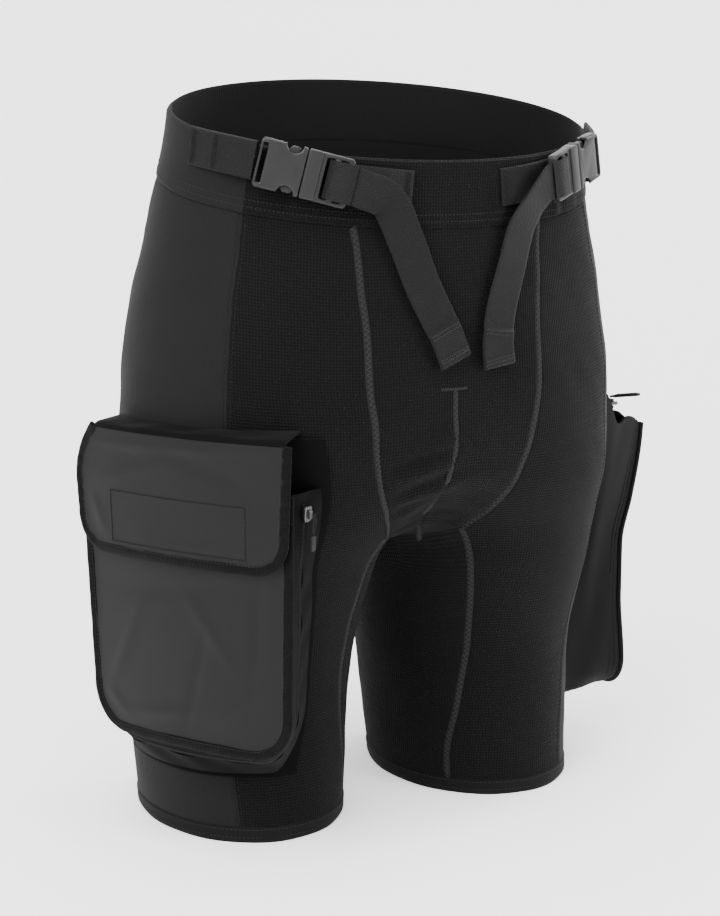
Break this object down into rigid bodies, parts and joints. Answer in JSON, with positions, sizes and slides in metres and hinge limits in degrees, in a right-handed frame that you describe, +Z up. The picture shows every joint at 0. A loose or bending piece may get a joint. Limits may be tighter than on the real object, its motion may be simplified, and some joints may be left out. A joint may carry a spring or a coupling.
{
  "type": "cargo sport shorts",
  "caption": "Close-fitting black stretch sport shorts with a flapped cargo pocket, a bellows side pocket and two buckled waist adjusting straps.",
  "frame": {"origin": "on the ground under the middle of the bounding box, between the two leg hems", "axes": "+Z up, the wearer faces -Y, the wearer's left is +X"},
  "size_m": [0.4562, 0.2576, 0.5208],
  "materials": {
    "waffle_stretch_fabric": "matte waffle-grid stretch knit",
    "smooth_neoprene": "matte finely ribbed stretch fabric",
    "coated_nylon": "semi-matte coated woven nylon",
    "binding_and_trim": "ribbed black binding tape and zip tape",
    "nylon_webbing": "twill weave nylon webbing",
    "black_acetal": "satin moulded plastic",
    "zip_metal": "dark satin metal"
  },
  "bodies": {
    "shorts": {"front_thigh_panel_right": "waffle_stretch_fabric", "side_panel_right": "smooth_neoprene", "seat_panel_right": "smooth_neoprene", "inner_leg_panel_right": "waffle_stretch_fabric", "hem_band_right": "binding_and_trim", "front_thigh_panel_left": "waffle_stretch_fabric", "side_panel_left": "smooth_neoprene", "seat_panel_left": "smooth_neoprene", "inner_leg_panel_left": "waffle_stretch_fabric", "hem_band_left": "binding_and_trim", "front_centre_panel": "waffle_stretch_fabric", "waistband_front": "waffle_stretch_fabric", "waistband_side_left": "smooth_neoprene", "waistband_back": "smooth_neoprene", "waistband_side_right": "smooth_neoprene", "buckle_socket_right": "black_acetal", "belt_webbing_right": "nylon_webbing", "strap_anchor_right": "nylon_webbing", "buckle_socket_left": "black_acetal", "belt_webbing_left": "nylon_webbing", "strap_anchor_left": "nylon_webbing", "cargo_pocket_back": "coated_nylon", "cargo_pocket_gusset_inner": "coated_nylon", "cargo_pocket_zip": "binding_and_trim", "cargo_pocket_gusset_outer": "coated_nylon", "cargo_pocket_face": "coated_nylon", "cargo_pocket_binding": "binding_and_trim", "cargo_pocket_top": "coated_nylon", "cargo_pocket_loop_patch": "binding_and_trim", "side_pocket_back": "smooth_neoprene", "side_pocket_wall": "smooth_neoprene", "side_pocket_face": "smooth_neoprene", "side_pocket_binding": "binding_and_trim", "side_pocket_tape_outer": "binding_and_trim", "side_pocket_tape_inner": "binding_and_trim"},
    "tongue_right": {"buckle_tongue_right": "black_acetal"},
    "arm_upper_right": {"buckle_arm_upper_right": "black_acetal"},
    "arm_lower_right": {"buckle_arm_lower_right": "black_acetal"},
    "tail_right": {"strap_tail_right": "nylon_webbing"},
    "tongue_left": {"buckle_tongue_left": "black_acetal"},
    "arm_upper_left": {"buckle_arm_upper_left": "black_acetal"},
    "arm_lower_left": {"buckle_arm_lower_left": "black_acetal"},
    "tail_left": {"strap_tail_left": "nylon_webbing"},
    "cargo_flap": {"cargo_flap": "coated_nylon", "cargo_flap_binding": "binding_and_trim", "cargo_flap_hook_patch": "binding_and_trim"},
    "cargo_slider": {"cargo_pocket_zip_slider": "zip_metal"},
    "cargo_pull": {"cargo_pocket_zip_pull": "binding_and_trim"},
    "side_slider": {"side_pocket_zip_slider": "zip_metal"},
    "side_pull": {"side_pocket_zip_pull": "binding_and_trim"}
  },
  "joints": [
    {"name": "buckle_release_right", "type": "slide", "parent": "shorts", "child": "tongue_right", "axis": [0.8578, -0.4493, -0.2496], "range_m": [0, 0.025], "deforming": ["buckle_arm_upper_right", "buckle_arm_lower_right"]},
    {"name": "arm_squeeze_upper_right", "type": "hinge", "parent": "tongue_right", "child": "arm_upper_right", "pos_m": [-0.11346, -0.09879, 0.47058], "axis": [-0.4648, -0.8854, -0.0035], "range_deg": [0, 12], "stiffness_Nm_per_rad": 0.05},
    {"name": "arm_squeeze_lower_right", "type": "hinge", "parent": "tongue_right", "child": "arm_lower_right", "pos_m": [-0.11776, -0.09646, 0.4516], "axis": [0.4648, 0.8854, 0.0035], "range_deg": [0, 12], "stiffness_Nm_per_rad": 0.05},
    {"name": "tail_swing_right", "type": "hinge", "parent": "tongue_right", "child": "tail_right", "pos_m": [-0.08482, -0.11381, 0.46503], "axis": [-0.8578, 0.4493, 0.2496], "range_deg": [0, 60]},
    {"name": "buckle_release_left", "type": "slide", "parent": "shorts", "child": "tongue_left", "axis": [-0.8578, -0.4493, -0.2496], "range_m": [0, 0.025], "deforming": ["buckle_arm_upper_left", "buckle_arm_lower_left"]},
    {"name": "arm_squeeze_upper_left", "type": "hinge", "parent": "tongue_left", "child": "arm_upper_left", "pos_m": [0.08981, -0.09879, 0.47058], "axis": [-0.4648, 0.8854, 0.0035], "range_deg": [0, 12], "stiffness_Nm_per_rad": 0.05},
    {"name": "arm_squeeze_lower_left", "type": "hinge", "parent": "tongue_left", "child": "arm_lower_left", "pos_m": [0.09411, -0.09646, 0.4516], "axis": [0.4648, -0.8854, -0.0035], "range_deg": [0, 12], "stiffness_Nm_per_rad": 0.05},
    {"name": "tail_swing_left", "type": "hinge", "parent": "tongue_left", "child": "tail_left", "pos_m": [0.06117, -0.11381, 0.46503], "axis": [-0.8578, -0.4493, -0.2496], "range_deg": [0, 60]},
    {"name": "cargo_flap_lift", "type": "hinge", "parent": "shorts", "child": "cargo_flap", "pos_m": [-0.19332, -0.05297, 0.2895], "axis": [-0.4695, 0.8829, 0], "range_deg": [0, 125]},
    {"name": "cargo_zip_slide", "type": "slide", "parent": "shorts", "child": "cargo_slider", "axis": [0.0311, 0.1436, -0.9892], "range_m": [0, 0.107]},
    {"name": "cargo_pull_swing", "type": "hinge", "parent": "cargo_slider", "child": "cargo_pull", "pos_m": [-0.1229, -0.12274, 0.24513], "axis": [-0.8492, -0.5182, -0.1019], "range_deg": [0, 110]},
    {"name": "side_zip_slide", "type": "slide", "parent": "shorts", "child": "side_slider", "axis": [-0.1363, 0.9907, 0], "range_m": [0, 0.084]},
    {"name": "side_pull_swing", "type": "hinge", "parent": "side_slider", "child": "side_pull", "pos_m": [0.19719, -0.00206, 0.28072], "axis": [-0.932, -0.3624, 0], "range_deg": [0, 80]}
  ]
}
